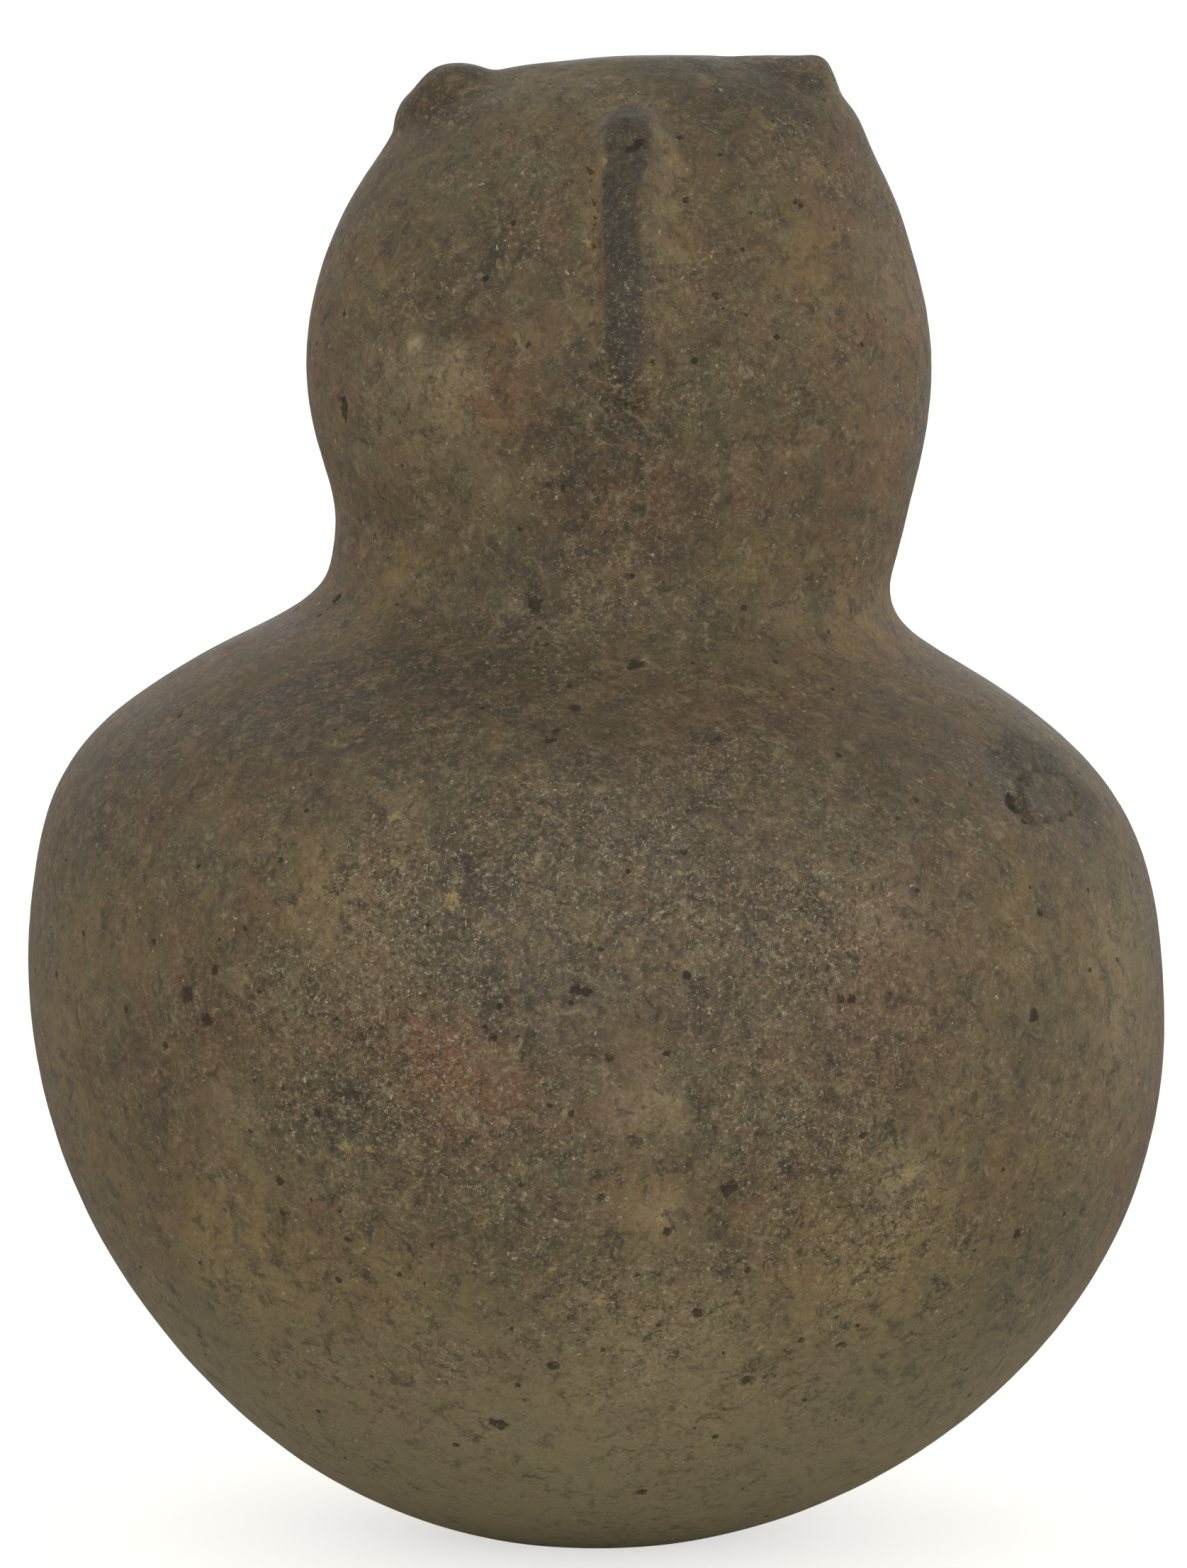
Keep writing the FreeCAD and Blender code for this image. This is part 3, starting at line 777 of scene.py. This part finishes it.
def cap_face(begin, finish, points, values, flatten, between):
    """Triangles that close the lower part of a cut, with points between its edges if asked."""
    rim = np.unique(np.concatenate([begin, finish]))
    place = {point: at for at, point in enumerate(rim.tolist())}
    flat = flatten(points[rim])
    edges = [(place[a], place[b]) for a, b in zip(begin.tolist(), finish.tolist())]
    starts = np.array([edge[0] for edge in edges])
    ends = np.array([edge[1] for edge in edges])
    extra = np.zeros((0, 2))
    if between:
        spacing, lift = between
        low, top = flat.min(axis=0), flat.max(axis=0)
        grid = np.stack(np.meshgrid(
            np.arange(low[0], top[0], spacing), np.arange(low[1], top[1], spacing)),
            axis=-1).reshape(-1, 2)
        grid = grid[inside_loops(grid, flat, starts, ends)]
        gaps = np.sqrt(((grid[:, None] - flat[None]) ** 2).sum(axis=2)).min(axis=1)
        extra = grid[gaps > LID_MARGIN * spacing]
        lifted = lift(extra)
        known = ~np.isnan(lifted[:, 0])
        extra = extra[known]
        nearest = np.argmin(((extra[:, None] - flat[None]) ** 2).sum(axis=2), axis=1)
        rim = np.concatenate([rim, len(points) + np.arange(len(extra))])
        points = np.concatenate([points, lifted[known]])
        values = np.concatenate([values, values[rim[nearest]]])
    spots = np.concatenate([flat, extra])
    found, _, faces, origins, _, _ = delaunay_2d_cdt(
        [Vector(spot) for spot in spots], edges, [], 0, LID_WELD, True)
    faces = np.array([face for face in faces if len(face) == 3], np.int64).reshape(-1, 3)
    names = np.array([owner[0] if owner else -1 for owner in origins], np.int64)
    middles = np.array([tuple(spot) for spot in found])[faces].mean(axis=1)
    faces = names[faces]
    faces = faces[inside_loops(middles, spots, starts, ends) & (faces >= 0).all(axis=1)]
    # The lid runs against the edges of the part that it closes
    runs = set(edges)
    sides = faces.tolist()
    same = sum((a, b) in runs or (b, c) in runs or (c, a) in runs for a, b, c in sides)
    against = sum((b, a) in runs or (c, b) in runs or (a, c) in runs for a, b, c in sides)
    if same > against:
        faces = faces[:, ::-1]
    return rim[faces], points, values


def nearness(points, names, reach):
    """Distance from points to the nearest of some solids; far points get the reach."""
    result = np.full(len(points), reach)
    for name in names:
        solid, corners = node_arrays(name)
        low, high = solid.min(axis=0) - reach, solid.max(axis=0) + reach
        close = np.flatnonzero(((points > low) & (points < high)).all(axis=1))
        tree = BVHTree.FromPolygons(solid.tolist(), corners.tolist())
        for at in close.tolist():
            away = tree.find_nearest(points[at], reach)[3]
            if away is not None and away < result[at]:
                result[at] = away
    return result


def pressed_field(shell, name):
    """Negative on a pressed-on piece and positive on the wall that carries it."""
    solid, _ = node_arrays(name)
    low, high = solid.min(axis=0) - PRESSED_REACH, solid.max(axis=0) + PRESSED_REACH
    close = np.flatnonzero(((shell.points > low) & (shell.points < high)).all(axis=1))
    field = np.full(len(shell.points), PRESSED_REACH)
    own = nearness(shell.points[close], [name], PRESSED_REACH)
    wall = nearness(shell.points[close], COURSES, PRESSED_REACH)
    field[close] = own - wall
    return field


def skin_under(name, start_of, along):
    """Function that lifts flat points to the hidden face of a pressed-on piece."""
    solid, corners = node_arrays(name)
    tree = BVHTree.FromPolygons(solid.tolist(), corners.tolist())

    def lift(flat):
        found = []
        for spot in flat:
            hit = tree.ray_cast(start_of(spot), along)[0]
            found.append(tuple(hit) if hit else (np.nan,) * 3)
        return np.array(found).reshape(-1, 3)
    return lift


def split_clay(clay, cones):
    """The pieces of the pot by name, each a closed shell."""
    mesh = clay.data
    mesh.calc_loop_triangles()
    corners = np.empty(len(mesh.loop_triangles) * 3, np.int64)
    mesh.loop_triangles.foreach_get("vertices", corners)
    columns = [mesh_normals(mesh)]
    for name in MASKS:
        column = np.empty(len(mesh.vertices))
        mesh.attributes[name].data.foreach_get("value", column)
        columns.append(column[:, None])
    corners = corners.reshape(-1, 3)
    rest = Shell(mesh_points(mesh), corners, np.hstack(columns), np.ones(len(corners), bool))
    pieces = {}

    # The mouth's seat is unrolled so that its height runs outwards from the middle
    def unrolled(points):
        offset = points - MOUTH_MIDDLE
        turn = np.arctan2(offset[:, 2], offset[:, 0])
        return np.column_stack([np.cos(turn), np.sin(turn)]) * offset[:, 1:2]

    pieces["mouth_rim"], rest = cut(rest, pressed_field(rest, "mouth_rim"), unrolled)
    behind = skin_under(
        "nose_ridge", lambda spot: Vector((spot[0], 0, spot[1])), Vector((0, -1, 0)))
    pieces["nose_ridge"], rest = cut(
        rest, pressed_field(rest, "nose_ridge"), lambda points: points[:, [0, 2]],
        (LID_SPACING, behind))
    for name, side in (("left_ear", -1), ("right_ear", 1)):
        slope = math.sqrt(0.5)
        out = np.array([side * slope, 0, slope])
        down = np.array([side * slope, 0, -slope])
        foot = np.array([side * EAR_FOOT_ASIDE, 0, EAR_FOOT_HEIGHT])

        def start_of(spot, down=down, foot=foot):
            base = foot - down * (foot @ down)
            return Vector(base + down * spot[0] + np.array([0, spot[1], 0]))

        under = skin_under(name, start_of, Vector(out))
        pieces[name], rest = cut(
            rest, pressed_field(rest, name),
            lambda points, down=down: np.column_stack([points @ down, points[:, 1]]),
            (LID_SPACING, under))
    for name, cone in zip(COURSES, cones):
        pieces[name], rest = cut(
            rest, above_cone(rest.points, cone), lambda points: points[:, :2])
    pieces[COURSES[-1]] = rest
    return pieces


def piece_object(name, shell, material):
    mesh = bpy.data.meshes.new(name)
    mesh.vertices.add(len(shell.points))
    mesh.vertices.foreach_set("co", shell.points.ravel())
    mesh.loops.add(shell.corners.size)
    mesh.loops.foreach_set("vertex_index", shell.corners.ravel())
    mesh.polygons.add(len(shell.corners))
    mesh.polygons.foreach_set("loop_start", np.arange(0, shell.corners.size, 3))
    mesh.polygons.foreach_set("use_smooth", np.ones(len(shell.corners), bool))
    mesh.update(calc_edges=True)
    for at, label in enumerate(MASKS):
        store(mesh, label, shell.values[:, 3 + at])
    normals = shell.values[:, :3][shell.corners]
    sides = np.cross(
        shell.points[shell.corners[:, 1]] - shell.points[shell.corners[:, 0]],
        shell.points[shell.corners[:, 2]] - shell.points[shell.corners[:, 0]])
    sides /= np.maximum(np.linalg.norm(sides, axis=1), 1e-20)[:, None]
    normals[~shell.skin] = sides[~shell.skin][:, None]
    mesh.normals_split_custom_set(normals.reshape(-1, 3).tolist())
    mesh.materials.append(material)
    piece = bpy.data.objects.new(name + "_clay", mesh)
    bpy.context.scene.collection.objects.link(piece)
    return piece


# Fired clay

def burnished_earthenware(name, soot_strength, satin):
    """Shell-tempered earthenware, rubbed with a smooth stone before a smoky firing.

    The rubbing leaves a satin sheen with fine strokes, the shell shows as pale specks,
    and the fire leaves ochre, red and grey clouds."""
    material = bpy.data.materials.new(name)
    material.use_nodes = True
    tree = material.node_tree
    tree.nodes.clear()
    place = add(tree, "ShaderNodeTexCoord").outputs["Object"]
    mask = {
        label: add(tree, "ShaderNodeAttribute", attribute_name=label).outputs["Fac"]
        for label in MASKS
    }

    def reckon(operation, *values, clamp=False):
        return add(tree, "ShaderNodeMath", dict(enumerate(values)), operation=operation,
                   use_clamp=clamp).outputs[0]

    def noise(size, detail=2.0, rough=0.55, vector=place, distortion=0.0):
        return add(tree, "ShaderNodeTexNoise",
                   {"Vector": vector, "Scale": 1 / (size * MM), "Detail": detail,
                    "Roughness": rough, "Distortion": distortion}).outputs[0]

    def window(value, low, high, start=0.0, end=1.0):
        return add(tree, "ShaderNodeMapRange",
                   {0: value, 1: low, 2: high, 3: start, 4: end}, clamp=True).outputs[0]

    def blend(factor, under, over):
        return add(tree, "ShaderNodeMix", {0: factor, 6: under, 7: over},
                   data_type="RGBA").outputs[2]

    def layer(colour, pattern, low, high, strength, code, where=None):
        """Lays a colour over, the more the further a pattern is from low to high."""
        amount = window(pattern, low, high, 0, strength)
        if where is not None:
            amount = reckon("MULTIPLY", amount, where)
        return blend(amount, colour, linear(code))

    def strand(colour, size, distortion, level, inner, outer, where, code):
        """Lays a colour along the thin winding lines on which a noise passes a level."""
        passing = reckon("SUBTRACT", noise(size, 2.0, 0.5, distortion=distortion), level)
        line = window(reckon("ABSOLUTE", passing), inner, outer, 1, 0)
        return blend(reckon("MULTIPLY", line, where, clamp=True), colour, linear(code))

    def cells(size, vector=place):
        """Distance to the nearest point of a scatter, and random values of that point."""
        cell = add(tree, "ShaderNodeTexVoronoi",
                   {"Vector": vector, "Scale": 1 / (size * MM), "Randomness": 1.0}).outputs
        draw = add(tree, "ShaderNodeSeparateColor", {0: cell["Color"]}).outputs
        return cell["Distance"], draw

    # Fire clouds, from a hand's width down to a few millimetres
    clouds = noise(12, 6.0, 0.62, distortion=0.3)
    tint = noise(8, 6.0, 0.66, distortion=0.5)
    rusty = noise(5.0, 5.0, 0.68, distortion=0.8)
    colour = blend(window(noise(34, 3.0), 0.35, 0.65), linear("#534532"), linear("#5e4f36"))
    for look in (
        (clouds, 0.42, 0.60, 0.95, "#6d5c42"),
        (tint, 0.46, 0.66, 0.65, "#604736"), (tint, 0.46, 0.30, 0.55, "#4c4a39"),
        (rusty, 0.54, 0.64, 0.50, "#6e4e38"), (rusty, 0.46, 0.36, 0.50, "#53543b"),
    ):
        colour = layer(colour, *look)
    # The skin's masks, torn at their edges; only the foot's, painted light on the shaded
    # underside, is even. The smudge mask also carries painted shade, the ochre and pale masks
    # painted light, and the mauve mask a painted sheen
    ragged = window(noise(4.0, 6.0, 0.72, distortion=0.5), 0.36, 0.64, 0.05, 1.65)
    for mask_name, code, strength in (
        ("ochre", "#836f48", 0.86), ("red", "#7d5236", 0.88), ("mauve", "#605547", 0.66),
        ("olive", "#575741", 0.70), ("crown", "#56533c", 0.60), ("smudge", "#3f3829", 0.70),
        ("pale", "#968566", 0.62), ("foot", "#9a8f6d", 0.85),
    ):
        amount = mask[mask_name] if mask_name == "foot" else reckon("MULTIPLY", mask[mask_name], ragged)
        colour = blend(reckon("MULTIPLY", amount, strength, clamp=True), colour, linear(code))

    # The grain shows most where the burnish is worn away
    worn = window(noise(9, 4.0, 0.65), 0.36, 0.64, -0.25, 0.35)
    grit = reckon("MULTIPLY_ADD", mask["grit"], 1.0, 0.46)
    grit = reckon("MAXIMUM", reckon("ADD", grit, worn), 0.10)
    half_grit = reckon("MULTIPLY_ADD", grit, 0.45, 0.64)
    # Fewer dark mottles towards the foot, as part of its painted light
    half_grit = reckon("SUBTRACT", half_grit, reckon("MULTIPLY", mask["foot"], 0.45), clamp=True)
    mottle = noise(2.6, 6.0, 0.70, distortion=0.8)
    bruise = noise(1.7, 4.0, 0.65, distortion=0.6)
    bruised = reckon("MULTIPLY", window(noise(13, 3.0, 0.6), 0.45, 0.60, 0.1, 0.65), half_grit)
    scuff = noise(2.1, 4.0, 0.7, distortion=0.9)
    scuffed = window(noise(10, 3.0, 0.6), 0.45, 0.60, 0.1, 0.6)
    flecked = noise(1.3, 3.0, 0.6, distortion=1.2)
    for look in (
        (mottle, 0.52, 0.65, 0.92, "#3b352a", half_grit),
        (mottle, 0.46, 0.33, 0.66, "#837354", half_grit),
        (bruise, 0.57, 0.64, 1.0, "#3b362b", bruised),
        (scuff, 0.42, 0.35, 1.0, "#8f8166", scuffed),
        (flecked, 0.58, 0.66, 0.55, "#353025", grit),
        (flecked, 0.42, 0.35, 0.42, "#85785d", grit),
    ):
        colour = layer(colour, *look)
    soot = window(flecked, 0.35, 0.65, soot_strength, 0.55 * soot_strength)
    colour = blend(reckon("MULTIPLY", mask["soot"], soot), colour, linear("#2b2922"))

    # Grain of the clay, 0.5 to 1 mm
    grain = noise(0.55, 4.0, 0.75, distortion=0.3)
    fine = noise(0.95, 3.0, 0.7, distortion=0.9)
    for look in (
        (grain, 0.51, 0.68, 0.54, "#322d22"), (grain, 0.47, 0.32, 0.40, "#8c7e64"),
        (fine, 0.60, 0.70, 0.55, "#968970"), (fine, 0.40, 0.31, 0.55, "#2d2920"),
    ):
        colour = layer(colour, *look, grit)

    # Shell drawn out into short, thin, curled crumbs by the rubbing, then the thin curved
    # marks of burnt-out straw and of the rubbing stone
    broken = reckon("MULTIPLY", window(noise(0.7, 2.0, 0.6), 0.54, 0.61, 0, 0.85), grit)
    straw = window(noise(7, 3.0, 0.6), 0.52, 0.60, 0, 0.6)
    stone = window(noise(9, 3.0, 0.6), 0.48, 0.40, 0, 0.45)
    colour = strand(colour, 0.9, 2.2, 0.5, 0.01, 0.035, broken, "#a99c81")
    colour = strand(colour, 3.2, 2.6, 0.5, 0.0, 0.012, straw, "#2b2722")
    colour = strand(colour, 2.7, 2.4, 0.47, 0.0, 0.010, stone, "#94835f")

    # Crushed shell, pale specks of 0.15 to 0.5 mm, each with a torn outline
    torn_place = add(tree, "ShaderNodeVectorMath", {
        0: add(tree, "ShaderNodeTexNoise",
               {"Vector": place, "Scale": 1 / (0.35 * MM)}).outputs["Color"],
        1: (1.3 * MM, 1.3 * MM, 1.3 * MM), 2: place}, operation="MULTIPLY_ADD").outputs[0]
    away, draw = cells(0.68, torn_place)
    crowd = window(noise(7, 4.0, 0.7), 0.44, 0.60, 0.0, 0.55)
    crowd = reckon("MULTIPLY", crowd, reckon("MULTIPLY_ADD", mask["mauve"], 0.5, 0.6))
    chosen = reckon("LESS_THAN", draw[0], reckon("MULTIPLY", crowd, grit))
    size = window(draw[1], 0, 1, 0.10, 0.34)
    ripple = window(noise(0.35), 0.3, 0.7, -0.10, 0.10)
    edge = reckon("ADD", reckon("SUBTRACT", away, size), ripple)
    specks = reckon("MULTIPLY", chosen, window(edge, -0.08, 0.04, 1, 0))
    faint = window(draw[2], 0, 1, 0.25, 0.95)
    colour = blend(reckon("MULTIPLY", specks, faint), colour, linear("#b0a48a"))

    # Pits where temper leached out, 0.3 to 1 mm, and the larger ones of the photograph, with
    # painted shade in the crease at the top of the nose ridge's knob
    away, draw = cells(3.4)
    tear = noise(0.75, 3.0, 0.65, distortion=0.6)
    size = reckon("ADD", window(draw[1], 0, 1, 0.02, 0.12), window(tear, 0.3, 0.7, -0.06, 0.06))
    small = window(reckon("SUBTRACT", away, size), -0.03, 0.02, 1, 0)
    small = reckon("MULTIPLY", small, reckon("LESS_THAN", draw[0], 0.45))
    torn = reckon("ADD", mask["pit_and_crease_shade"], window(tear, 0.3, 0.7, -0.45, 0.55))
    holes_and_crease_shade = reckon("MAXIMUM", small, window(torn, -0.05, 0.45))
    colour = blend(reckon("MULTIPLY", holes_and_crease_shade, 0.85), colour, linear("#36322a"))
    crumb = reckon("ADD", mask["crumb"], window(noise(0.6, 3.0, 0.7), 0.3, 0.7, -0.8, 0.5))
    colour = layer(colour, crumb, 0.0, 0.4, 0.62, "#a38c5c")
    colour = blend(reckon("MULTIPLY", mask["inside"], 0.8), colour, linear("#35302a"))

    # A dry, worn grain, and in mm the heights of the grain, the strokes round the pot, the
    # mottling, the shell and the pits
    rough = window(clouds, 0.3, 0.7, satin, satin + 0.16)
    rough = reckon("ADD", rough, reckon("MULTIPLY", holes_and_crease_shade, 0.3))
    rough = reckon("ADD", rough, window(grain, 0.3, 0.7, -0.06, 0.10), clamp=True)
    drawn = add(tree, "ShaderNodeVectorMath", {0: place, 1: (0.25, 0.25, 1.0)},
                operation="MULTIPLY").outputs[0]
    strokes = noise(0.45, 3.0, 0.6, vector=drawn)
    height = 0.0
    for pattern, rise in (
        (grain, -0.10), (strokes, 0.05), (mottle, -0.22), (specks, 0.02), (holes_and_crease_shade, -0.25),
    ):
        height = reckon("ADD", height, reckon("MULTIPLY", pattern, rise))
    bump = add(tree, "ShaderNodeBump",
               {"Height": height, "Strength": 1.0, "Distance": 1 * MM}).outputs[0]
    shader = add(tree, "ShaderNodeBsdfPrincipled",
                 {"Base Color": colour, "Roughness": rough, "Normal": bump, "IOR": 1.5,
                  "Specular IOR Level": 0.3})
    add(tree, "ShaderNodeOutputMaterial", {"Surface": shader.outputs[0]})
    return material


# Floor and light

def lay_floor():
    mesh = bpy.data.meshes.new("floor")
    half = 8.0
    mesh.from_pydata(
        [(-half, -half, 0), (half, -half, 0), (half, half, 0), (-half, half, 0)], [],
        [(0, 1, 2, 3)])
    floor = bpy.data.objects.new("floor", mesh)
    bpy.context.scene.collection.objects.link(floor)
    material = bpy.data.materials.new("matt_white_board")
    material.use_nodes = True
    tree = material.node_tree
    tree.nodes.clear()
    seen = add(tree, "ShaderNodeLightPath").outputs["Is Camera Ray"]
    lit = add(tree, "ShaderNodeBsdfDiffuse", {"Color": linear("#f0efea")}).outputs[0]
    # The camera sees the board lit to white
    glow = add(tree, "ShaderNodeEmission", {"Color": (1, 1, 1, 1), "Strength": 0.62}).outputs[0]
    bright = add(tree, "ShaderNodeAddShader", {0: lit, 1: glow}).outputs[0]
    shown = add(tree, "ShaderNodeMixShader", {0: seen, 1: lit, 2: bright}).outputs[0]
    add(tree, "ShaderNodeOutputMaterial", {"Surface": shown})
    mesh.materials.append(material)


def light_studio():
    world = bpy.data.worlds.new("studio")
    bpy.context.scene.world = world
    world.use_nodes = True
    tree = world.node_tree
    tree.nodes.clear()
    path = add(tree, "ShaderNodeLightPath").outputs
    seen = add(tree, "ShaderNodeMath", {0: path["Is Camera Ray"], 1: path["Is Glossy Ray"]},
               operation="MAXIMUM").outputs[0]
    seen = add(tree, "ShaderNodeMath", {0: seen, 1: path["Is Transmission Ray"]},
               operation="MAXIMUM").outputs[0]
    lit = add(tree, "ShaderNodeBackground",
              {"Color": linear("#fbf9f4"), "Strength": 0.63}).outputs[0]
    white = add(tree, "ShaderNodeBackground",
                {"Color": (1, 1, 1, 1), "Strength": 1.0}).outputs[0]
    shown = add(tree, "ShaderNodeMixShader", {0: seen, 1: lit, 2: white}).outputs[0]
    add(tree, "ShaderNodeOutputWorld", {"Surface": shown})
    # Place, size and power
    lamps = {
        "soft_front": ((0.35, -1.5, 0.40), 0.7, 3.5),
        "low_front": ((-0.08, -1.4, 0.04), 0.5, 4.4),
        "right_edge": ((1.30, 0.50, 0.12), 0.6, 2.2),
        "soft_back": ((0.05, 1.50, 0.25), 0.7, 3.5),
    }
    for name, (place, size, power) in lamps.items():
        data = bpy.data.lights.new(name, "AREA")
        data.shape = "DISK"
        data.size = size
        data.energy = power
        lamp = bpy.data.objects.new(name, data)
        lamp.location = place
        aim = Vector((0, 0, 0.09)) - Vector(place)
        lamp.rotation_euler = aim.to_track_quat("-Z", "Y").to_euler()
        bpy.context.scene.collection.objects.link(lamp)


set_camera()
CONES = [seam_cone(lower, upper) for lower, upper in zip(COURSES, COURSES[1:])]
clay = clay_object(CONES)
applied(clay)
round_lip(clay)
paint_marks(applied(clay))
EARTHENWARE = burnished_earthenware("burnished_shell_tempered_earthenware", 0.85, 0.54)
# The ridge stood in the smoke: blacker, and rubbed to more of a sheen
SMUDGED = burnished_earthenware("fire_smudged_burnished_earthenware", 0.92, 0.46)
give_hand(clay, EARTHENWARE)
shells = split_clay(clay, CONES)
bpy.data.objects.remove(clay)
for node, shell in shells.items():
    piece = piece_object(node, shell, SMUDGED if node == "nose_ridge" else EARTHENWARE)
    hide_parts(node)
    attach(piece, "root")
lay_floor()
light_studio()
bpy.context.scene.view_settings.view_transform = "Standard"
